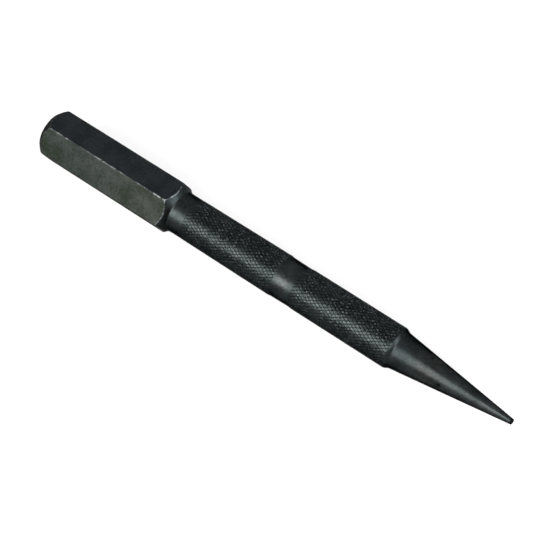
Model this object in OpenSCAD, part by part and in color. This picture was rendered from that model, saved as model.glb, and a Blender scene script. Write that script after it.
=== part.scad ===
// Nail setter: a hardened steel punch that sinks a nail's head below the surface.
// It is turned from one hexagonal bar. Each module here is one machined zone of that bar,
// and neighbouring zones meet face to face on planes square to the axis.
// The tool lies on one flat of its head: axis along X, struck end at -X, tip at +X.
// The origin is on the surface it lies on, at the middle of its length.

/* [Overall] */
// Length from the struck face to the tip
overall_length = 102; // [92:0.5:130]

/* [Head] */
// Width of the hexagonal head across two opposite flats
across_flats = 9.3; // [8.5:0.1:12]
// Length of the head's six corners, from bevel to shoulder
corner_length = 26.9; // [16:0.1:34]
// Diameter of the flat face that the hammer strikes
struck_face_d = 7.4; // [4:0.1:8]
// Length of the turned bevel between the struck face and the corners
struck_bevel_length = 1.9; // [0.6:0.1:4]
// Length of the turned slope from the corners down to the neck
shoulder_length = 1.6; // [0.6:0.1:5]
// How far the middle of the bevel stands out from a straight one
bevel_crown = 0.15; // [0:0.01:0.3]
// Full hexagon kept on the bevelled and on the sloped zone
hex_land = 0.6; // [0.2:0.1:2]

/* [Neck] */
// Diameter of the smooth neck behind the rear grip
neck_d = 7.98; // [6:0.02:8.2]
// Length of the smooth neck
neck_length = 2.9; // [1:0.1:6]

/* [Grips] */
// Diameter over the crests of the knurl
grip_d = 8.04; // [6.4:0.02:9]
// Diameter over the crests where the rear grip swells to the band
swell_d = 8.2; // [6.4:0.02:9]
// Length of the knurled grip next to the neck
rear_grip_length = 20.3; // [10:0.1:28]
// Length of the knurled grip next to the taper
front_grip_length = 20.8; // [10:0.1:28]
// Depth of the knurl's grooves below its crests
knurl_depth = 0.14; // [0.05:0.01:0.4]
// Distance between neighbouring grooves, measured round the grip
knurl_pitch = 0.67; // [0.6:0.01:2]
// Angle between a groove and the tool's axis
knurl_angle = 30; // [20:1:45]

/* [Centre band] */
// Diameter of the smooth band at its end towards the head
band_rear_d = 8; // [6:0.01:8.2]
// Diameter of the smooth band at its end towards the tip
band_front_d = 7.84; // [6:0.01:8.2]
// Length of the smooth band
band_length = 3.7; // [1:0.1:10]

/* [Taper] */
// Diameter where the turned step leaves the front grip
step_rear_d = 7.92; // [7.3:0.01:9]
// Diameter where the taper begins, at the foot of the step
taper_rear_d = 7.18; // [3:0.02:7.5]
// Length of the step
step_length = 0.55; // [0.2:0.05:3]

/* [Tip] */
// Diameter of the tip, where the taper would meet the end face
tip_d = 1.06; // [0.9:0.02:2.8]
// Length of the ground zone at the tip
tip_length = 2; // [0.8:0.1:6]
// Width of the bevel round the end face
rim_bevel = 0.1; // [0.01:0.01:0.12]
// Diameter of the cup at its mouth
cup_d = 0.6; // [0.2:0.01:0.66]
// Depth of the cup
cup_depth = 0.2; // [0.05:0.01:0.5]

/* [Hidden] */
$fn = 96;

// How far a cutter runs past the face that it cuts
overrun = 1;

// The head
axis_height = across_flats / 2;
corner_d = across_flats / cos(30);
bevel_middle = struck_bevel_length / 2;
bevel_middle_radius = (corner_d + struck_face_d) / 4 + bevel_crown;
bevel_front_slope = (corner_d / 2 - bevel_middle_radius) / bevel_middle;
shoulder_slope = (corner_d - neck_d) / 2 / shoulder_length;

// Where each zone begins along the axis, measured from the struck face
hex_start = struck_bevel_length + hex_land;
shoulder_start = struck_bevel_length + corner_length - hex_land;
neck_start = shoulder_start + hex_land + shoulder_length;
rear_grip_start = neck_start + neck_length;
band_start = rear_grip_start + rear_grip_length;
front_grip_start = band_start + band_length;
step_start = front_grip_start + front_grip_length;
taper_start = step_start + step_length;
tip_start = overall_length - tip_length;

// The taper's diameter at a distance from the struck face
function taper_d(place) =
    taper_rear_d + (tip_d - taper_rear_d) * (place - taper_start) / (overall_length - taper_start);

// Carries a zone from a local Z axis to its place on the tool's axis
module on_axis(place) {
    translate([place - overall_length / 2, 0, axis_height])
        rotate([0, 90, 0])
            children();
}

// The bar: a hexagonal prism that rests on a flat once it is laid along X
module hex_bar(length) {
    rotate([0, 0, 30])
        cylinder(h = length, d = corner_d, $fn = 6);
}

// The knurl is a net of points in rows square to the axis. Crests and groove crossings
// alternate along each row, and the next row is shifted by one point, so each crest is
// the top of a four-sided pyramid and the grooves run between the pyramids as two sets
// of opposite helices. The first and last rows lie at the depth of the grooves.
function knurl_points(length, d1, d2, rows, columns) = [
    for (row = [0:rows])
        for (column = [0:columns - 1])
            let (at_end = row == 0 || row == rows)
            let (in_groove = at_end || (row + column) % 2 == 0)
            let (crest_d = d1 + (d2 - d1) * row / rows)
            let (radius = crest_d / 2 - (in_groove ? knurl_depth : 0))
            let (turn = 360 * column / columns)
            [radius * cos(turn), radius * sin(turn), length * row / rows]
];

// Each square of the net is split along the diagonal that lies in a groove
function knurl_faces(rows, columns) = [
    for (row = [0:rows - 1])
        for (column = [0:columns - 1])
            let (beside = (column + 1) % columns)
            let (a = row * columns + column)
            let (b = row * columns + beside)
            let (c = (row + 1) * columns + beside)
            let (d = (row + 1) * columns + column)
            for (face = (row + column) % 2 == 0 ? [[a, c, b], [a, d, c]] : [[a, d, b], [b, d, c]])
                face,
    [for (column = [0:columns - 1]) column],
    [for (column = [columns - 1:-1:0]) rows * columns + column]
];

module knurled_bar(length, d1, d2) {
    columns = 2 * round(PI * grip_d / knurl_pitch);
    crest_spacing = knurl_pitch / tan(knurl_angle);
    rows = max(4, round(2 * length / crest_spacing));
    polyhedron(knurl_points(length, d1, d2, rows, columns), knurl_faces(rows, columns), convexity = 4);
}

// The end that the hammer strikes, with the crowned bevel that cuts an arc on each flat
module struck_end() {
    cutter_end = hex_start + overrun;
    cutter_end_radius = bevel_middle_radius + (cutter_end - bevel_middle) * bevel_front_slope;
    color("#2b2f31")
        on_axis(0)
            intersection() {
                hex_bar(hex_start);
                rotate_extrude()
                    polygon([
                        [0, 0],
                        [struck_face_d / 2, 0],
                        [bevel_middle_radius, bevel_middle],
                        [cutter_end_radius, cutter_end],
                        [0, cutter_end]
                    ]);
            }
}

// The hexagonal length that keeps the tool from rolling
module hex_head() {
    color("#3a3f3d")
        on_axis(hex_start)
            hex_bar(shoulder_start - hex_start);
}

// The turned slope that cuts an arc on the front of each flat and falls to the neck
module head_shoulder() {
    color("#202325")
        on_axis(shoulder_start)
            intersection() {
                hex_bar(hex_land + shoulder_length);
                cylinder(h = hex_land + shoulder_length, d1 = corner_d + 2 * hex_land * shoulder_slope, d2 = neck_d);
            }
}

// The smooth neck
module neck() {
    color("#4c5352")
        on_axis(neck_start)
            cylinder(h = neck_length, d = neck_d);
}

// The knurled grip between the neck and the band
module rear_grip() {
    color("#262b2d")
        on_axis(rear_grip_start)
            knurled_bar(rear_grip_length, grip_d, swell_d);
}

// The smooth band between the grips
module centre_band() {
    color("#5a5f60")
        on_axis(band_start)
            cylinder(h = band_length, d1 = band_rear_d, d2 = band_front_d);
}

// The knurled grip between the band and the taper
module front_grip() {
    color("#262b2d")
        on_axis(front_grip_start)
            knurled_bar(front_grip_length, grip_d, grip_d);
}

// The short step from the grip down to the taper
module grip_step() {
    color("#4c5352")
        on_axis(step_start)
            cylinder(h = step_length, d1 = step_rear_d, d2 = taper_rear_d);
}

// The long turned taper
module taper() {
    color("#2a3033")
        on_axis(taper_start)
            cylinder(h = tip_start - taper_start, d1 = taper_rear_d, d2 = taper_d(tip_start));
}

// The ground end that sits on the nail: a bevelled rim round a hollow cup
module cup_tip() {
    rim_place = tip_length - rim_bevel;
    rim_radius = taper_d(overall_length - rim_bevel) / 2;
    end_radius = tip_d / 2 - rim_bevel;
    color("#15181a")
        on_axis(tip_start)
            rotate_extrude()
                polygon([
                    [0, 0],
                    [taper_d(tip_start) / 2, 0],
                    [rim_radius, rim_place],
                    [end_radius, tip_length],
                    [cup_d / 2, tip_length],
                    [0, tip_length - cup_depth]
                ]);
}

struck_end();
hex_head();
head_shoulder();
neck();
rear_grip();
centre_band();
front_grip();
grip_step();
taper();
cup_tip();
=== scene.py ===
# %% [markdown]
# # A nail setter in blackened steel
#
# A nail setter is one bar of tool steel. A lathe cuts its neck, band, step and taper, a pair
# of wheels presses the diamond knurl into its grips, and a hot salt bath turns it black.
# This lesson dresses the ten zones of that bar. They come from a CAD model that already has
# their true sizes. A length below is read from that model, repeats one of its sizes that
# can't be read there, or is a named size of the finish that the CAD leaves plain, such as a
# rounded edge.

# %% Load the CAD frame
from math import cos, pi, radians, sin, tan

import bpy
import numpy as np
from mathutils import Matrix, Vector


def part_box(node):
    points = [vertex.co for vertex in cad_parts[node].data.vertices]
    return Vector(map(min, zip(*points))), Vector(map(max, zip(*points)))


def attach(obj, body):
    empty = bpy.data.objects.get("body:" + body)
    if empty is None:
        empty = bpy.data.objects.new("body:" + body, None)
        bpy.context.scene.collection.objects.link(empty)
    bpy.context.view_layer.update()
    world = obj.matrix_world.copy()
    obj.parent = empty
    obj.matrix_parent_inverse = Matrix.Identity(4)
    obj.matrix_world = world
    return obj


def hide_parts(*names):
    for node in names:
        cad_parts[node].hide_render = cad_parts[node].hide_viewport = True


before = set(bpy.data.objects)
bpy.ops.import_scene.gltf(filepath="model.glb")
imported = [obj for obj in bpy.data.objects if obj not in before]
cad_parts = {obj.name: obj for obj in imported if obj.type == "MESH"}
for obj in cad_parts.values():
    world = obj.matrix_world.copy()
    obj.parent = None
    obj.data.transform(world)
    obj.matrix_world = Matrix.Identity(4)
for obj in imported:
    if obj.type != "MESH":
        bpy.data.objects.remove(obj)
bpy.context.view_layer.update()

# %% [markdown]
# ## Sizes
#
# Blender works in metres and a small tool is easier to read in millimetres, so each length
# is a number times `mm`. The zones' ends and radii are read from the boxes of the CAD
# nodes: a zone of a bar along X is known by its two ends and its radius.

# %% Read the zones
mm = 0.001


def ends(node):
    """Where a zone begins and ends along X."""
    low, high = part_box(node)
    return low.x, high.x


def radius_of(node):
    """Half of a zone's height, which is its greatest radius."""
    low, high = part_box(node)
    return (high.z - low.z) / 2


head_low, head_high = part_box("hex_head")
axis_z = (head_low.z + head_high.z) / 2
apothem = radius_of("hex_head")
corner_radius = (head_high.y - head_low.y) / 2
neck_radius = radius_of("neck")
crest_radius = radius_of("front_grip")
swell_radius = radius_of("rear_grip")
band_rear_radius = radius_of("centre_band")
step_radius = radius_of("grip_step")
taper_radius = radius_of("taper")
print("flats %.2f mm apart, crests %.2f mm across" % (2 * apothem / mm, 2 * crest_radius / mm))

# %% Name the sizes that a box doesn't tell
struck_face_radius = 3.7 * mm
struck_bevel_length = 1.9 * mm
bevel_crown = 0.15 * mm
shoulder_length = 1.6 * mm
# The tool that cuts the front slope leaves it slightly hollow, by this much in its middle
shoulder_hollow = 0.15 * mm
band_front_radius = 3.92 * mm
# Hands have worn the middle of the band by half of this
band_waist = 0.03 * mm
tip_radius = 0.53 * mm
rim_bevel = 0.1 * mm
cup_radius = 0.3 * mm
cup_depth = 0.2 * mm

# %% [markdown]
# ## The camera
#
# The tool lies on one flat of its head. The camera looks down on it steeply, from the side
# of the tip, with a long lens and a slight roll. Its place is given as a turn round the
# tool, an elevation and a distance from the point that it aims at, the way a photographer
# would set a tripod.

# %% Set the camera
camera_turn = radians(31.57)
camera_elevation = radians(52.43)
camera_roll = radians(6.37)
camera_distance = 315.1 * mm
camera_aim = Vector((1.65 * mm, -1.05 * mm, 5.42 * mm))
frame_pixels = 550
focal_pixels = 1782.1

camera_data = bpy.data.cameras.new("camera")
camera_data.sensor_width = 36
camera_data.lens = focal_pixels / frame_pixels * camera_data.sensor_width
camera_data.clip_start = 0.02
camera_data.clip_end = 20
camera = bpy.data.objects.new("camera", camera_data)
bpy.context.collection.objects.link(camera)
bpy.context.scene.camera = camera

towards_camera = Vector((
    sin(camera_turn) * cos(camera_elevation),
    -cos(camera_turn) * cos(camera_elevation),
    sin(camera_elevation),
))
upright = towards_camera.to_track_quat("Z", "Y").to_matrix().to_4x4()
camera.matrix_world = (
    Matrix.Translation(camera_aim + camera_distance * towards_camera)
    @ upright
    @ Matrix.Rotation(camera_roll, 4, "Z")
)
print("lens %.1f mm, camera %.0f mm above the floor" % (camera_data.lens, camera.location.z / mm))

# %% [markdown]
# ## One bar, one function
#
# All the zones are patches of a single surface. For each place along the axis and each angle
# round it there is one radius:
#
# - the lathe gives a radius that depends on the place alone, a chain of straight slopes with
#   a small rounding where two slopes meet;
# - the hexagonal bar gives a radius that depends on the angle alone;
# - the tool can't be thicker than either, so the surface is the smaller of the two, and a
#   soft minimum rounds the edge between them, as a tumbler and a few years of use do.

# %% Describe what the lathe cuts
neck_start, rear_grip_start = ends("neck")
band_start, front_grip_start = ends("centre_band")
step_start, taper_start = ends("grip_step")
tip_start, tip_end = ends("cup_tip")
struck_face_x = ends("struck_end")[0]
band_middle = (band_start + front_grip_start) / 2
band_middle_radius = (band_rear_radius + band_front_radius - band_waist) / 2

bevel_middle_x = struck_face_x + struck_bevel_length / 2
bevel_middle_radius = (struck_face_radius + corner_radius) / 2 + bevel_crown
bevel_slope = (corner_radius - bevel_middle_radius) / (struck_bevel_length / 2)
rim_slope = (bevel_middle_radius - struck_face_radius) / (struck_bevel_length / 2)
shoulder_middle_x = neck_start - shoulder_length / 2
shoulder_middle_radius = (corner_radius + neck_radius) / 2 - shoulder_hollow
shoulder_slope = (corner_radius - shoulder_middle_radius) / (shoulder_length / 2)
taper_slope = (taper_radius - tip_radius) / (tip_end - taper_start)

# The bevel and the front slope, carried on over the head, would meet in this ridge
bevel_at_zero = bevel_middle_radius - bevel_middle_x * bevel_slope
shoulder_at_zero = shoulder_middle_radius + shoulder_middle_x * shoulder_slope
ridge_x = (shoulder_at_zero - bevel_at_zero) / (bevel_slope + shoulder_slope)
ridge_radius = bevel_middle_radius + (ridge_x - bevel_middle_x) * bevel_slope

# The corners of the chain: the place of each, its radius, and how widely it is rounded
lathe_chain = np.array([
    (struck_face_x, struck_face_radius, 0),
    (bevel_middle_x, bevel_middle_radius, 0.2 * mm),
    (ridge_x, ridge_radius, 0),
    (shoulder_middle_x, shoulder_middle_radius, 0.3 * mm),
    (neck_start, neck_radius, 0.14 * mm),
    (rear_grip_start, neck_radius, 0.3 * mm),
    (band_start, band_rear_radius, 0.5 * mm),
    (band_middle, band_middle_radius, 2.4 * mm),
    (front_grip_start, band_front_radius, 0.5 * mm),
    (step_start, step_radius, 0.13 * mm),
    (taper_start, taper_radius, 0.1 * mm),
    (tip_end, tip_radius, 0),
])
lathe_x, lathe_radius, lathe_rounding = lathe_chain.T


def turned_radius(x):
    """The radius left by the lathe. It starts as the first slope, and at each corner of the
    chain it adds the change of slope times a ramp, which is half of the distance past the
    corner plus the root of that distance squared plus the rounding squared."""
    slopes = np.diff(lathe_radius) / np.diff(lathe_x)
    radius = lathe_radius[0] + (x - lathe_x[0]) * slopes[0]
    for place, change, rounding in zip(lathe_x[1:-1], np.diff(slopes), lathe_rounding[1:-1]):
        past = x - place
        radius = radius + change * (past + np.sqrt(past**2 + rounding**2)) / 2
    return radius


def where_turned(radius, low_x, high_x):
    """The place between two others where the lathe leaves a radius, looked up in a table."""
    x = np.linspace(low_x, high_x, 400)
    reached = turned_radius(x)
    order = np.argsort(reached)
    return np.interp(radius, reached[order], x[order])


print("radius at the neck's middle: %.3f mm" % (turned_radius((neck_start + rear_grip_start) / 2) / mm))

# %% [markdown]
# A drawn hexagonal bar has rounded corners. Seen from the axis, a flat at distance `a` lies
# at `a` over the cosine of the angle from its middle. Near a corner the outline is instead
# an arc, whose far crossing with the line of sight is a small quadratic. How round each
# corner is varies along the head, because corners wear where they are knocked.

# %% Describe the drawn bar
SIXTH = pi / 3
corner_round = 0.10 * mm
corner_round_change = 0.07 * mm
# The waves of wear along a corner: the length and the height of each, how far it is shifted
# from one corner to the next, and where it starts, the last two as angles
wear_waves = ((12.2 * mm, 1.0, 1.9, -3.8628), (4.3 * mm, 0.45, 2.9, 0), (1.9 * mm, 0.3, 4.1, 0))


def from_flat_middle(angle):
    """How far an angle is from the middle of the nearest flat. Flats face up, down and to
    four sides."""
    return np.abs((angle - pi / 2 + SIXTH / 2) % SIXTH - SIXTH / 2)


def drawn_radius(angle, rounding):
    """The hexagon's radius at an angle round the axis: that of the flat, or that of the arc
    past the place where the arc touches the flat."""
    from_flat = from_flat_middle(angle)
    from_corner = SIXTH / 2 - from_flat
    flat = apothem / np.cos(from_flat)
    arc_centre = (apothem - rounding) / cos(SIXTH / 2)
    inside = rounding**2 - (arc_centre * np.sin(from_corner)) ** 2
    arc = arc_centre * np.cos(from_corner) + np.sqrt(np.maximum(inside, 0))
    touches = (apothem - rounding) * tan(SIXTH / 2)
    return np.where(apothem * np.tan(from_flat) > touches, arc, flat)


def corner_wear(x, angle):
    """About 0 to 1: a slow wave of wear along each of the six corners, another on each. It is
    half plus a third of the sum of a long sine and two shorter ones."""
    corner = np.round(angle / SIXTH)
    past = x - struck_face_x
    wave = 0
    for length, height, shift, start in wear_waves:
        wave = wave + height * np.sin(2 * pi * past / length + shift * corner + start)
    return 0.5 + wave / 3.0


def soft_min(a, b, rounding):
    """The smaller of two radii: half of their sum less the root of their difference squared
    plus the rounding squared, so the two meet in a small curve."""
    return (a + b - np.sqrt((a - b) ** 2 + rounding**2)) / 2


def bell(x, middle, width):
    """1 in the middle, falling to 0 on both sides as a bell curve does."""
    return np.exp(-(((x - middle) / width) ** 2))


def ease(share):
    """Rises from 0 to 1 with a smooth start and end."""
    share = np.clip(share, 0, 1)
    return share * share * (3 - 2 * share)


# %% [markdown]
# ## From the function to meshes
#
# A zone is a grid of rows along the axis and columns round it, with a flat cap at each end
# that comes to one point. The grid is computed as whole arrays. Each of its squares is cut
# into two triangles, and the caller may say which diagonal to cut along, because in the
# knurl the fold of the groove must be an edge. The rims of the caps are marked sharp, so
# that the shading of a zone carries on into the next without a dark line.
#
# A zone also carries its finishes: numbers for each point that say how worn, rubbed or dirty
# it is. The materials read them, so wear sits on the edges of the real shape.

# %% Build a closed mesh from a grid
EDGE_CREASE = 0.07 * mm


def bar_piece(node, x, angle, radius, finish, rising=None, sharp_ends=(True, True), crisp=None):
    """Puts a grid of places, angles and radii into a mesh that stands for a CAD node.
    A point lies at its place along X, and at its radius times the cosine and the sine of
    its angle along Y and Z from the axis. Rising says along which diagonal each square is
    cut. Folds by more than the angle crisp stay sharp."""
    x, angle, radius = np.broadcast_arrays(x, angle, radius)
    rows, columns = radius.shape
    points = np.stack([x, radius * np.cos(angle), axis_z + radius * np.sin(angle)], axis=-1)
    centres = [[x[0].mean(), 0, axis_z], [x[-1].mean(), 0, axis_z]]
    points = np.concatenate([points.reshape(-1, 3), centres])

    here = np.arange(rows * columns).reshape(rows, columns)
    beside = np.roll(here, -1, axis=1)
    a, b, c, d = here[:-1], beside[:-1], beside[1:], here[1:]
    rising = np.ones(a.shape, bool) if rising is None else rising
    first = np.where(rising[..., None], np.stack([a, b, c], -1), np.stack([a, b, d], -1))
    second = np.where(rising[..., None], np.stack([a, c, d], -1), np.stack([b, c, d], -1))
    start, end = rows * columns, rows * columns + 1
    start_cap = np.stack([np.full(columns, start), beside[0], here[0]], -1)
    end_cap = np.stack([np.full(columns, end), here[-1], beside[-1]], -1)
    faces = np.concatenate([first.reshape(-1, 3), second.reshape(-1, 3), start_cap, end_cap])

    mesh = bpy.data.meshes.new(node + "_finish")
    mesh.from_pydata(points, [], faces)
    mesh.shade_smooth()
    pairs = np.empty(2 * len(mesh.edges), int)
    mesh.edges.foreach_get("vertices", pairs)
    pairs = pairs.reshape(-1, 2)
    sharp = np.zeros(len(pairs), bool)
    if crisp:
        mesh.set_sharp_from_angle(angle=crisp)
        mesh.attributes["sharp_edge"].data.foreach_get("value", sharp)
        mesh.attributes.remove(mesh.attributes["sharp_edge"])
    for row, wanted in zip((here[0], here[-1]), sharp_ends):
        if wanted:
            sharp |= np.isin(pairs, row).all(axis=1)
    mesh.attributes.new("sharp_edge", "BOOLEAN", "EDGE").data.foreach_set("value", sharp)
    for name, values in finish.items():
        values = np.broadcast_to(values, radius.shape).ravel()
        values = np.concatenate([values, [0, 0]])
        mesh.attributes.new(name, "FLOAT", "POINT").data.foreach_set("value", values)

    piece = bpy.data.objects.new(node + "_finish", mesh)
    bpy.context.collection.objects.link(piece)
    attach(piece, "root")
    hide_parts(node)
    print("%s: %d rows by %d columns, %d triangles" % (node, rows, columns, len(faces)))
    return piece


# %% [markdown]
# ## The head
#
# The head keeps the bar's six flats. Where the bevel and the front slope cut it, each flat
# ends in an arc. A square grid would cross that arc in steps, so the rows are bent to
# follow it: for each column the place where the cone reaches the bar's surface is known,
# and the rows are packed close on both sides of that place.

# %% Choose the columns of the head
# From the middle of a flat, even steps lead to the last sixth, and packed ones round the corner
packed_from = 0.84
flat_steps = np.linspace(0, packed_from, 9)[:-1]
corner_steps = 1 - (1 - packed_from) * (1 - np.linspace(0, 1, 13)[:-1]) ** 2.2
half_flat = np.arctan(np.concatenate([flat_steps, corner_steps]) * tan(SIXTH / 2))
flat_angles = np.concatenate([half_flat, [SIXTH / 2], -half_flat[:0:-1] + SIXTH])
head_angles = np.concatenate([pi / 2 + side * SIXTH + flat_angles for side in range(6)]) % (2 * pi)
head_angles = np.sort(head_angles)
print("%d columns round the head" % len(head_angles))


def packed(steps, power):
    """Steps from 0 to 1 that are packed towards 0: an even row of numbers to a power."""
    return np.linspace(0, 1, steps) ** power


# %% Say how the head is worn
# How wide the bare line is along a corner, and along an arc that the lathe has cut
corner_line = 0.14 * mm
arc_line = 0.09 * mm
# Every corner but the two upper ones shows this share of their wear, which keeps those corners dark as
# painted shade
shaded_corner_share = 0.1
# The arcs at the front are rubbed more than those at the bevel
bevel_arc_wear, front_arc_wear = 0.25, 0.8
# The flats that face sideways are less scoured here, as shares of the head's length
kept_middle, kept_width, kept_share = 0.4, 0.17, 0.5
# Painted shade fills the lower side of the front slope from this far before the neck, and is full after
# this length
shade_reach, shade_rise = 1.3 * mm, 0.9 * mm
# How strong the painted shade is on the lower half of the head, and on the struck face, its rim and its
# turned bevel
underside_shade, turned_end_shade = 0.85, 0.7


def head_surface(x, angle):
    """The soft minimum of the lathe's radius and the bar's, with its finishes: wear is 1 on an
    edge and falls off on both sides of it, and is kept low on all but the two upper corners as
    painted shade; scoured is 1 on the four flats that face sideways, and handled grows on them
    towards the front; turned is 1 where the lathe has cut; painted shade lies on the lower half
    of the head and on the lower side of the root of the front slope, and makes them darker and
    rougher."""
    waves = corner_wear(x, angle)
    drawn = drawn_radius(angle, corner_round + corner_round_change * (2 * waves - 1))
    turned = turned_radius(x)
    from_corner = SIXTH / 2 - from_flat_middle(angle)
    along = (x - struck_face_x) / (neck_start - struck_face_x)
    # Painted shade: less bright wear on all corners but the two upper ones
    corner_share = np.where(np.sin(angle) > 0.3, 1, shaded_corner_share)
    along_corner = bell(from_corner * corner_radius, 0, corner_line)
    long_edge = along_corner * np.clip(waves, 0, 1) ** 1.6 * corner_share
    arc_edge = bell(turned - drawn, 0, arc_line) * np.where(along > 0.5, front_arc_wear, bevel_arc_wear)
    sideways = (np.abs((angle % pi) - pi / 2) > SIXTH / 2) + 0 * x
    # Painted shade: in the root of the front slope on its lower side, and over the lower half of the head
    root = np.clip((x - (neck_start - shade_reach)) / shade_rise, 0, 1)
    below = np.clip(0.2 + 3 * np.sin(angle - radians(120)), 0, 1)
    return soft_min(turned, drawn, EDGE_CREASE), {
        "wear": np.maximum(long_edge * (turned > drawn), arc_edge),
        "scoured": sideways * (1 - kept_share * bell(along, kept_middle, kept_width)),
        "handled": sideways * along,
        "turned": np.clip(0.5 - (turned - drawn) / EDGE_CREASE, 0, 1),
        "painted_shade": np.maximum(root * below, underside_shade * (np.sin(angle) < -0.01)),
    }


def turned_finish(x, wear):
    """The finishes of the struck face and its rim, which are turned all over and carry painted shade."""
    none = 0 * x
    return {
        "wear": none + wear, "scoured": none, "handled": none, "turned": none + 1,
        "painted_shade": none + turned_end_shade,
    }


def stacked(*parts):
    """Joins the finishes of several parts of one piece, row under row."""
    return {name: np.concatenate([part[name] for part in parts]) for name in parts[0]}


# %% Build the struck end
# The face is very slightly crowned, so that the hammer meets its middle first, and a small
# arc rounds its rim. Both lie inside the flat face that the CAD has.
hex_start = ends("struck_end")[1]
face_crown = 0.05 * mm
rim_round = 0.16 * mm
rim_wear = 0.3
after_rim = 0.06 * mm

face_steps = np.linspace(0.02, 1, 14)[:, None]
face_x = struck_face_x + face_crown * face_steps**2 + 0 * head_angles
face_radius = (struck_face_radius - rim_round) * face_steps + 0 * head_angles

rim_turn = np.linspace(0, 1, 7)[1:-1, None] * (pi / 2 - np.arctan(rim_slope))
rim_x = struck_face_x + face_crown + rim_round * (1 - np.cos(rim_turn)) + 0 * head_angles
rim_radius = struck_face_radius - rim_round + rim_round * np.sin(rim_turn) + 0 * head_angles

rim_end = rim_x[-1] + after_rim
even_bar = drawn_radius(head_angles, corner_round)
crease_x = where_turned(even_bar, struck_face_x, struck_face_x + 3 * mm)
bevel_x = rim_end + (crease_x - rim_end) * (1 - packed(16, 1.8)[::-1, None])
land_x = crease_x + (hex_start - crease_x) * packed(14, 2.0)[1:, None]
side_x = np.concatenate([bevel_x, land_x])
side_radius, side_finish = head_surface(side_x, head_angles)
# The turned bevel of the struck end carries the painted shade as well
side_finish["painted_shade"] = np.maximum(side_finish["painted_shade"], turned_end_shade * side_finish["turned"])

struck_end = bar_piece(
    "struck_end",
    np.concatenate([face_x, rim_x, side_x]),
    head_angles,
    np.concatenate([face_radius, rim_radius, side_radius]),
    stacked(turned_finish(face_x, 0), turned_finish(rim_x, rim_wear), side_finish),
    sharp_ends=(False, True),
)

# %% Build the hexagonal length
hex_end = ends("hex_head")[1]
hex_x = np.linspace(hex_start, hex_end, 61)[:, None]
hex_radius, hex_finish = head_surface(hex_x, head_angles)
hex_head = bar_piece("hex_head", hex_x, head_angles, hex_radius, hex_finish)

# %% Build the front slope
slope_crease_x = where_turned(even_bar, hex_end - 1 * mm, neck_start)
before_x = slope_crease_x + (hex_end - slope_crease_x) * packed(12, 2.0)[::-1, None]
after_x = slope_crease_x + (neck_start - slope_crease_x) * packed(18, 1.6)[1:, None]
shoulder_x = np.concatenate([before_x, after_x])
shoulder_radius, shoulder_finish = head_surface(shoulder_x, head_angles)
head_shoulder = bar_piece(
    "head_shoulder", shoulder_x, head_angles, shoulder_radius, shoulder_finish
)

# %% [markdown]
# ## The knurl
#
# Two wheels press two sets of slanted grooves, one leaning each way. Each groove is a narrow
# V with steep flanks and crisp folds, and the metal left between them is a field of small
# flat-topped diamonds. With `forward` and `backward` counting the grooves that have been
# passed in each set, how far a point is towards a groove is a zigzag of each count. The
# wheels never bite evenly: one set is deeper than the other, each stretch of a groove has
# its own depth, and each diamond leans a little its own way, which is what makes a real
# knurl glitter instead of looking printed. The black is knocked off the tops in specks, and
# more specks are painted on the upper side of the tool, away from the camera, as painted
# glints.

# %% Describe the pressed diamonds
knurl_pitch = 0.67 * mm
knurl_angle = radians(30)
groove_count = round(2 * pi * crest_radius / knurl_pitch)
# The grooves' net has squares whose corners are crests and crossings. Each gets this many
# steps of the grid along and round the grip
steps_per_square = 6
round_angles = np.linspace(0, 2 * pi, 2 * groove_count * steps_per_square, endpoint=False)[None, :]
# A top is flat out to this share of the way to the middle of the nearest groove
flat_top = 0.83
pressed_depth = 0.11 * mm
# How much the tops differ in height, and how far the edge of one may tip up or down
uneven = 0.015 * mm
lean = 0.012 * mm
# How hard each set is pressed at the least, and how much harder on some stretches, as shares
# of the pressed depth
forward_bite, forward_extra = 0.65, 0.9
backward_bite, backward_extra = 0.35, 0.8
# The first set of grooves reaches its full depth within this length from the end of a grip
bitten_within = 0.2 * mm
# The angle round the axis at which the most specks are painted, as painted glints on the upper side
glint_angle = radians(35)
diamond_draws = np.random.default_rng(5).random((5, groove_count, groove_count)) - 0.5


def zigzag(count):
    """1 at each whole number and 0 half way between two of them."""
    return 2 * np.abs(count % 1 - 0.5)


def draw_at(draw, one, other):
    """The draw of a square of the net, from two counts."""
    return draw[np.floor(one).astype(int) % groove_count, np.floor(other).astype(int) % groove_count]


def counts(x, angle, start, end, rows):
    """How many grooves of each set have been passed: the sum of and the difference between
    the turns round the axis and the rows along it."""
    cells = (x - start) / (end - start) * rows
    return (groove_count * angle / pi + cells) / 2, (groove_count * angle / pi - cells) / 2


def from_ends(x, start, end, lengths):
    """Rises smoothly from 0 at either end of a grip to 1, over a length for each end."""
    return ease(np.minimum((x - start) / lengths[0], (end - x) / lengths[1]))


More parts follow.
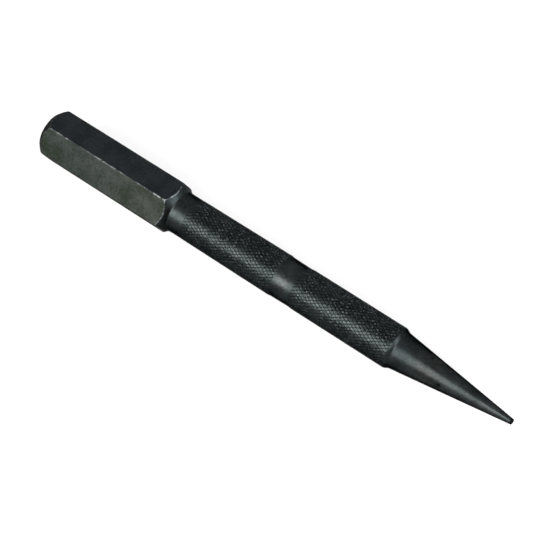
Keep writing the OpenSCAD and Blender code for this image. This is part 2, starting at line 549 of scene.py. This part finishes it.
def knurled(x, angle, start, end, rows, crest, run_in, rise):
    """The radius of the knurl and its finishes. A top is flat out to a share of the way to
    the nearest groove, then a straight flank leads down. At its ends the pattern fades into
    the plain bar: the crests over the rise, one set of grooves at once and the other over
    the run-in. Groove is 1 at the bottom of a deep groove. Diamond is up to 1 on a top, more
    on some than on others. Wear is greatest in the middle of a top, and it is raised on the
    upper side as painted glints; the shader picks specks of it."""
    forward, backward = counts(x, angle, start, end, rows)
    height, lean_one, lean_two = (draw_at(draw, forward, backward) for draw in diamond_draws[:3])
    early = from_ends(x, start, end, (bitten_within, bitten_within))
    late = from_ends(x, start, end, run_in)
    forward_draw = draw_at(diamond_draws[3], forward + 0.5, backward) + 0.5
    backward_draw = draw_at(diamond_draws[4], forward, backward + 0.5) + 0.5
    forward_depth = early * (forward_bite + forward_extra * forward_draw**2)
    backward_depth = late * (backward_bite + backward_extra * backward_draw**2)
    near = np.array([zigzag(forward), zigzag(backward)])
    flank = np.clip((near - flat_top) / (1 - flat_top), 0, 1)
    sunk = np.maximum(flank[0] * forward_depth, flank[1] * backward_depth)
    tipped = lean_one * (forward % 1 - 0.5) + lean_two * (backward % 1 - 0.5)
    own = uneven * (height - 0.5) + 2 * lean * tipped
    top = crest - uneven / 2 + own * (1 - flank.max(axis=0))
    plain = turned_radius(x)
    nearest = near.max(axis=0)
    # Painted glints: more specks on the upper side, away from the camera
    glint_side = np.clip(0.4 + 1.1 * np.cos(angle - glint_angle), 0.5, 2)
    knocked = np.clip(1.7 * (0.97 - nearest), 0, 1) * np.clip(0.85 + 1.4 * height, 0, 2)
    return plain + from_ends(x, start, end, rise) * (top - plain) - pressed_depth * sunk, {
        "groove": np.clip(1.7 * sunk, 0, 1),
        "diamond": (0.65 + 0.7 * height) * (nearest < 0.9) * late,
        "wear": knocked * late * glint_side,
    }


# %% Build the two grips
crisp_fold = radians(20)


def grip(node, end_crest, run_in, rise):
    """A knurled zone whose crests go straight from the common radius to that at its end.
    Each square of its grid is cut along the diagonal on which the nearer groove runs."""
    start, end = ends(node)
    rows = round(2 * (end - start) * tan(knurl_angle) / knurl_pitch)
    x = np.linspace(start, end, rows * steps_per_square + 1)[:, None]
    crest = crest_radius + (end_crest - crest_radius) * (x - start) / (end - start)
    radius, finish = knurled(x, round_angles, start, end, rows, crest, run_in, rise)
    square_x = (x[1:] + x[:-1]) / 2
    square_angles = round_angles + pi / round_angles.size
    forward, backward = counts(square_x, square_angles, start, end, rows)
    rising = zigzag(backward) > zigzag(forward)
    return bar_piece(node, x, round_angles, radius, finish, rising, crisp=crisp_fold)


rear_grip = grip("rear_grip", swell_radius, run_in=(1.5 * mm, 0.6 * mm), rise=(0.4 * mm, 0.6 * mm))
front_grip = grip("front_grip", crest_radius, run_in=(1.7 * mm, 0.7 * mm), rise=(0.9 * mm, 0.4 * mm))

# %% [markdown]
# ## The plain turned zones
#
# The neck, the band, the step and the taper are patches of the lathe's curve alone. Rows are
# packed where the curve bends at the root of the front slope, so that its small rounded edge
# catches the light; the step has even rows.

# %% Build the plain zones
turned_angles = round_angles[:, ::2]
# A bend as tight as this radius counts as an edge that is worn all the way
worn_bend_radius = 0.12 * mm
# Three small pits: a distance from the tip, an angle round the axis from the far side, a radius
pits = (
    (17.1 * mm, radians(78), 0.2 * mm),
    (15.1 * mm, radians(76), 0.18 * mm),
    (13.8 * mm, radians(163), 0.28 * mm),
)
# How deep a pit is, as a share of its radius
pit_depth = 0.3


def turned_zone(node, x, pale=None, scuffed=None, dents=()):
    """A patch of the lathe's curve. Its wear is the sharpness of the curve's bend. A dent
    lowers the radius by a bell curve of the distance from its middle, measured over the
    surface. Pale says where the black has been rubbed thin, and scuffed where it is rough."""
    x = np.asarray(x)[:, None]
    bend = np.abs(np.gradient(np.gradient(turned_radius(x[:, 0]), x[:, 0]), x[:, 0]))
    radius = turned_radius(x) + 0 * turned_angles
    depth = 0 * radius
    pitted = 0 * radius
    for from_tip, angle, size in dents:
        away = (x - (tip_end - from_tip)) ** 2 + (radius * (turned_angles - angle)) ** 2
        pitted = pitted + np.exp(-away / size**2)
        depth = depth + pit_depth * size * np.exp(-away / size**2)
    finish = {
        "wear": np.clip(bend * worn_bend_radius, 0, 1)[:, None],
        "pale": pale(x) if pale else 0 * x,
        "scuffed": scuffed(x, turned_angles) if scuffed else 0 * x,
        "pit": np.clip(1.5 * pitted, 0, 1),
    }
    return bar_piece(node, x, turned_angles, radius - depth, finish)


def rubbed_neck(x):
    """A hand that holds the head rubs the neck a little all over."""
    return 0.2 + 0 * x


def rubbed_band(x):
    """The black is thinnest in the middle of the band."""
    return 0.75 * bell(x, band_middle, 1.1 * mm)


def rubbed_taper(x):
    """Fingers rub the taper in its rear half, and the nails its point."""
    return 0.95 * bell(x, taper_start + 7.2 * mm, 3.2 * mm) + 0.7 * bell(x, tip_end, 10 * mm)


def scuffed_taper(x, angle):
    """Wood scuffs the underside of the taper's front half, most where its angle is 215 degrees."""
    underside = ease(0.15 + 1.2 * np.cos(angle - radians(215)))
    return 0.6 * underside * ease((x - (tip_end - 15 * mm)) / (6 * mm))


neck_x = neck_start + (rear_grip_start - neck_start) * packed(20, 1.5)
neck = turned_zone("neck", neck_x, pale=rubbed_neck)
centre_band = turned_zone("centre_band", np.linspace(band_start, front_grip_start, 21), pale=rubbed_band)
grip_step = turned_zone("grip_step", np.linspace(step_start, taper_start, 19))
taper_x = np.linspace(taper_start, tip_start, 171)
taper = turned_zone("taper", taper_x, pale=rubbed_taper, scuffed=scuffed_taper, dents=pits)

# %% Build the cupped tip
# The profile runs down the taper, over the small bevel of the rim, across the end face and
# into the hollow cone of the cup. Each stretch is given as shares of its length and height,
# packed towards its corners.
end_radius = tip_radius - rim_bevel
rim_edge_radius = tip_radius + taper_slope * rim_bevel
tip_side_x = np.linspace(tip_start, tip_end - rim_bevel, 16)
tip_x = np.concatenate([
    tip_side_x,
    tip_end - rim_bevel * np.array([0.6, 0.25, 0.06, 0, 0, 0, 0.15]),
    tip_end - cup_depth * np.array([0.25, 0.55, 0.85, 0.97, 1]),
])
tip_profile = np.concatenate([
    tip_radius + taper_slope * (tip_end - tip_side_x),
    end_radius + (rim_edge_radius - end_radius) * np.array([0.66, 0.34, 0.12, 0]),
    [cup_radius + 0.06 * mm, cup_radius + 0.02 * mm, cup_radius],
    cup_radius * np.array([0.76, 0.47, 0.2, 0.08, 0.02]),
])
# Painted shade: the end of the tip, its rim and its cup are painted near black, for the shade in the cup
# and the dark that the rim reflects
dark_end_length = 0.35 * mm
painted_dark_end = np.clip((tip_x - (tip_end - 1.5 * dark_end_length)) / (0.5 * dark_end_length), 0, 1)
cup_tip = bar_piece(
    "cup_tip", tip_x[:, None], round_angles[:, ::4], tip_profile[:, None],
    {"painted_dark_end": painted_dark_end[:, None]}, sharp_ends=(True, False),
)

# %% [markdown]
# ## Blackened steel
#
# Black oxide is a skin of magnetite about a thousandth of a millimetre thick. It keeps the
# look of a metal, but it gives back only a few hundredths of the light, so it is dark with
# broad satin highlights, and where it rubs off on edges and crests the grey steel shows.
# In the shader it is a metal with a very dark colour. At a shallow angle an ideal metal
# turns into a mirror, which a rough oxide doesn't, so the edge tint is dark as well.

# %% Make the helpers for materials
def linear(hex_colour):
    """Turns an sRGB hex value into linear red, green, blue and alpha."""
    parts = [int(hex_colour[i:i + 2], 16) / 255 for i in (1, 3, 5)]
    return [p / 12.92 if p <= 0.04045 else ((p + 0.055) / 1.055) ** 2.4 for p in parts] + [1]


def add(tree, kind, settings=None, **links):
    """Adds a node. Settings are its own options and socket values, by name or by the number
    of the input. Links are the sockets that feed its inputs, by the input's name with
    underscores for spaces, or by its number after an underscore."""
    node = tree.nodes.new(kind)
    for name, value in (settings or {}).items():
        if isinstance(name, str) and hasattr(node, name):
            setattr(node, name, value)
        else:
            node.inputs[name].default_value = value
    for name, socket in links.items():
        place = int(name[1:]) if name[1:].isdigit() else name.replace("_", " ")
        tree.links.new(socket, node.inputs[place])
    return node


def per(size):
    """The scale of a noise whose features are about this size."""
    return 1 / size


# %% Make a blackened steel
# The clouds are the stains that a salt bath leaves on a part, a few millimetres wide
cloud_size = 3.2 * mm
# How high the grain stands
grain_relief = 0.008 * mm
# How much rougher a dulled place is, and how much smoother a polished one
dulled_change, polished_change = 0.35, -0.08


def blackened(name, tones, roughness, grain, ring=None, worn=None, patch=0.7 * mm, bare=(0.38, 0.62),
              coarse=0.0, polished=None, dulled=None, rim="#cdcdcd"):
    """A dark metal whose colour drifts between a dark and a light tone, in soft clouds with a
    fine grain over them. The first tones are for the whole surface. Each later pair comes
    with the name of a finish of the mesh that says how much of it there is. Ring is the
    spacing of the fine marks that a lathe leaves round the work.

    Worn is the tone of bare places. They show where the finish named wear is high, in
    patches of the size patch, between the two levels of its noise called bare, and are
    rougher than the skin by coarse. Polished names the finish that says where hands have
    made the surface smoother, and dulled the one that says where dirt or scuffs make it
    rough. Rim holds back the glare that an ideal metal has at a shallow angle, because a
    rough oxide has much less of it."""
    material = bpy.data.materials.new(name)
    material.use_nodes = True
    tree = material.node_tree
    tree.nodes.clear()
    place = add(tree, "ShaderNodeTexCoord").outputs["Object"]
    clouds = add(
        tree, "ShaderNodeTexNoise", {"Scale": per(cloud_size), "Detail": 3.0}, Vector=place
    ).outputs["Fac"]
    speckle = add(
        tree, "ShaderNodeTexNoise", {"Scale": per(grain), "Detail": 4.0, "Roughness": 0.65}, Vector=place
    ).outputs["Fac"]
    both = add(tree, "ShaderNodeMix", {"Factor": 0.5}, _2=clouds, _3=speckle).outputs[0]
    spread = add(
        tree, "ShaderNodeMapRange", {"From Min": 0.41, "From Max": 0.59}, Value=both
    ).outputs[0]

    colour = None
    for finish, dark, light in tones:
        tone = add(
            tree, "ShaderNodeMix", {"data_type": "RGBA", 6: linear(dark), 7: linear(light)}, Factor=spread
        ).outputs[2]
        if finish:
            amount = add(tree, "ShaderNodeAttribute", {"attribute_name": finish}).outputs["Fac"]
            tone = add(
                tree, "ShaderNodeMix", {"data_type": "RGBA"}, Factor=amount, _6=colour, _7=tone
            ).outputs[2]
        colour = tone

    roughness_changes = []
    if worn:
        wear = add(tree, "ShaderNodeAttribute", {"attribute_name": "wear"}).outputs["Fac"]
        patches = add(
            tree, "ShaderNodeTexNoise", {"Scale": per(patch), "Detail": 3.0}, Vector=place
        ).outputs["Fac"]
        patchy = add(
            tree, "ShaderNodeMapRange", {"From Min": bare[0], "From Max": bare[1]}, Value=patches
        ).outputs[0]
        bared = add(tree, "ShaderNodeMath", {"operation": "MULTIPLY"}, _0=wear, _1=patchy).outputs[0]
        colour = add(
            tree, "ShaderNodeMix", {"data_type": "RGBA", 7: linear(worn)}, Factor=bared, _6=colour
        ).outputs[2]
        if coarse:
            roughness_changes.append((bared, coarse))
    for finish, change in ((dulled, dulled_change), (polished, polished_change)):
        if finish:
            amount = add(tree, "ShaderNodeAttribute", {"attribute_name": finish}).outputs["Fac"]
            roughness_changes.append((amount, change))

    satin = add(
        tree, "ShaderNodeMapRange", {"To Min": roughness - 0.05, "To Max": roughness + 0.05}, Value=both
    ).outputs[0]
    for amount, change in roughness_changes:
        satin = add(
            tree, "ShaderNodeMath", {"operation": "MULTIPLY_ADD", 1: change}, _0=amount, _2=satin
        ).outputs[0]

    bump = add(tree, "ShaderNodeBump", {"Strength": 0.6, "Distance": grain_relief}, Height=speckle)
    if ring:
        # A wave texture repeats every pi over ten times its scale
        marks = add(
            tree, "ShaderNodeTexWave",
            {"bands_direction": "X", "Scale": pi / (10 * ring), "Distortion": 2.0, "Detail": 2.0},
            Vector=place,
        )
        bump = add(
            tree, "ShaderNodeBump", {"Strength": 0.25, "Distance": 0.1 * ring},
            Height=marks.outputs["Fac"], Normal=bump.outputs[0],
        )
    shader = add(
        tree, "ShaderNodeBsdfPrincipled", {"Metallic": 1.0, "Specular Tint": linear(rim)},
        Base_Color=colour, Roughness=satin, Normal=bump.outputs[0],
    )
    add(tree, "ShaderNodeOutputMaterial", Surface=shader.outputs[0])
    print("made", name)
    return material


# %% [markdown]
# ## The four finishes
#
# The same skin looks different on each kind of surface, because what the eye sees is how the
# steel under it was made. The grains of real oxide are about a thousandth of a millimetre,
# far too fine to show, so each grain here is drawn as coarse as it needs to show.

# %% Mix the four finishes
# Drawn bar: the die leaves broad smooth flats, so the eye sees soft clouds of green and blue
# grey on them, and thin bright lines of bare steel along the corners and arcs
bar_steel = blackened(
    "black_oxide_on_drawn_bar",
    [
        (None, "#1d2124", "#272a2c"),
        ("scoured", "#181d17", "#252a29"),
        ("handled", "#1a1f1a", "#292c2a"),
        ("turned", "#1b1f20", "#24292a"),
        # Painted shade, darker than the skin
        ("painted_shade", "#0b0d0c", "#111312"),
    ],
    roughness=0.42, grain=0.4 * mm, worn="#6a6f70", dulled="painted_shade",
)
# Turned steel: the rings of the lathe spread each highlight into a satin streak along the
# tool, and where fingers rub it the streak is paler and a little sharper
turned_steel = blackened(
    "black_oxide_on_turned_steel",
    [
        (None, "#161a1b", "#222627"),
        ("pale", "#1f2121", "#303232"),
        ("pit", "#0a0b0c", "#0d0e0f"),
    ],
    roughness=0.37, grain=0.35 * mm, ring=0.11 * mm, worn="#3c4041", polished="pale",
    dulled="scuffed", rim="#9c9c9c",
)
# Knurled steel: the grooves hold dirt and are dull and nearly black, and the tops glitter in
# grey specks where the black is knocked off them, with more specks painted on the upper
# side as painted glints
knurled_steel = blackened(
    "black_oxide_on_knurled_steel",
    [
        (None, "#1a1e1f", "#212526"),
        ("diamond", "#0d1010", "#1b1f1f"),
        ("groove", "#070808", "#0d0f0f"),
    ],
    roughness=0.37, grain=0.45 * mm, worn="#434849", patch=0.28 * mm, bare=(0.49, 0.6), coarse=0.2,
    dulled="groove", rim="#a8a8a8",
)
# Ground tip: the wheel leaves the smoothest surface of all, so it shows one thin clear
# streak, and its end is painted near black as painted shade of the cup and of the dark that its rim
# reflects
tip_steel = blackened(
    "black_oxide_on_ground_tip",
    [(None, "#222525", "#2a2c2c"), ("painted_dark_end", "#08090a", "#0c0d0e")],
    roughness=0.34, grain=0.25 * mm,
)
for piece, material in (
    (struck_end, bar_steel), (hex_head, bar_steel), (head_shoulder, bar_steel), (neck, turned_steel),
    (rear_grip, knurled_steel), (centre_band, turned_steel), (front_grip, knurled_steel),
    (grip_step, turned_steel), (taper, turned_steel), (cup_tip, tip_steel),
):
    piece.data.materials.append(material)

# %% [markdown]
# ## Floor and light
#
# The tool lies on a plain white floor. The floor's own colour is pale, and it adds the rest
# of its white only for rays from the camera or from a reflection, so the shadow stays and
# no extra light falls on the tool. The lamps reach the far floor less, so more of its white
# is added there. Three soft boxes light the tool: a broad one low on the near side, which
# draws the streak along the round parts, a smaller one high on the side of the tip, and a
# broad one behind the tip, which lights the slopes that face it.

# %% Lay the floor
floor_size = 3.0
floor_mesh = bpy.data.meshes.new("floor")
half = floor_size / 2
floor_corners = [(-half, -half, 0), (half, -half, 0), (half, half, 0), (-half, half, 0)]
floor_mesh.from_pydata(floor_corners, [], [(0, 1, 2, 3)])
floor = bpy.data.objects.new("floor", floor_mesh)
bpy.context.collection.objects.link(floor)


def seen_directly(tree):
    """1 for rays that come from the camera, from a reflection or through glass, otherwise 0."""
    path = add(tree, "ShaderNodeLightPath").outputs
    seen = add(
        tree, "ShaderNodeMath", {"operation": "MAXIMUM"}, _0=path["Is Camera Ray"], _1=path["Is Glossy Ray"]
    ).outputs[0]
    return add(
        tree, "ShaderNodeMath", {"operation": "MAXIMUM"}, _0=seen, _1=path["Is Transmission Ray"]
    ).outputs[0]


# %% Make the floor white
# Two distances from the tool, and the share of white that the lamps leave missing there
near_floor, near_missing = 120 * mm, 0.64
far_floor, far_missing = 450 * mm, 1.04

white_card = bpy.data.materials.new("white_card")
white_card.use_nodes = True
card = white_card.node_tree
card.nodes.clear()
floor_place = add(card, "ShaderNodeTexCoord").outputs["Object"]
from_tool = add(card, "ShaderNodeVectorMath", {"operation": "LENGTH"}, _0=floor_place).outputs["Value"]
missing_white = add(
    card, "ShaderNodeMapRange",
    {"From Min": near_floor, "From Max": far_floor, "To Min": near_missing, "To Max": far_missing},
    Value=from_tool,
).outputs[0]
glow_share = add(
    card, "ShaderNodeMath", {"operation": "MULTIPLY"}, _0=missing_white, _1=seen_directly(card)
).outputs[0]
paper = add(card, "ShaderNodeBsdfDiffuse", {"Color": linear("#8a8a8a")}).outputs[0]
glow = add(card, "ShaderNodeEmission", {"Color": (1, 1, 1, 1)}, Strength=glow_share).outputs[0]
floor_shader = add(card, "ShaderNodeAddShader", _0=paper, _1=glow).outputs[0]
add(card, "ShaderNodeOutputMaterial", Surface=floor_shader)
floor_mesh.materials.append(white_card)

# %% Light the world
fill_level = 0.15
world = bpy.data.worlds.new("studio")
bpy.context.scene.world = world
world.use_nodes = True
air = world.node_tree
air.nodes.clear()
level = add(air, "ShaderNodeMapRange", {"To Min": fill_level, "To Max": 1.0}, Value=seen_directly(air))
backdrop = add(air, "ShaderNodeBackground", {"Color": (1, 1, 1, 1)}, Strength=level.outputs[0])
add(air, "ShaderNodeOutputWorld", Surface=backdrop.outputs[0])

# %% Hang the soft boxes
box_distance = 0.9


def soft_box(name, turn, elevation, half_angle, brightness, tint="#ffffff"):
    """A round area lamp that hangs in a direction from the tool and faces it, with the angle
    that its radius fills as seen from the tool. Its brightness is that of its surface, where
    1 is white, so its watts are pi times that and its area."""
    data = bpy.data.lights.new(name, "AREA")
    data.shape = "DISK"
    radius = box_distance * tan(radians(half_angle))
    data.size = 2 * radius
    data.energy = brightness * pi * pi * radius**2
    data.color = linear(tint)[:3]
    lamp = bpy.data.objects.new(name, data)
    bpy.context.collection.objects.link(lamp)
    turn, elevation = radians(turn), radians(elevation)
    towards = Vector((sin(turn) * cos(elevation), -cos(turn) * cos(elevation), sin(elevation)))
    faced = towards.to_track_quat("Z", "Y").to_matrix().to_4x4()
    lamp.matrix_world = Matrix.Translation(box_distance * towards) @ faced
    print("%s: %.2f W" % (name, data.energy))
    return lamp


soft_box("near_box", turn=-16, elevation=29, half_angle=18, brightness=20, tint="#fffbf6")
soft_box("high_box", turn=26, elevation=50, half_angle=14, brightness=15)
soft_box("far_box", turn=98, elevation=46, half_angle=18, brightness=11.5)

# %% Choose how colours are shown
bpy.context.scene.view_settings.view_transform = "Standard"
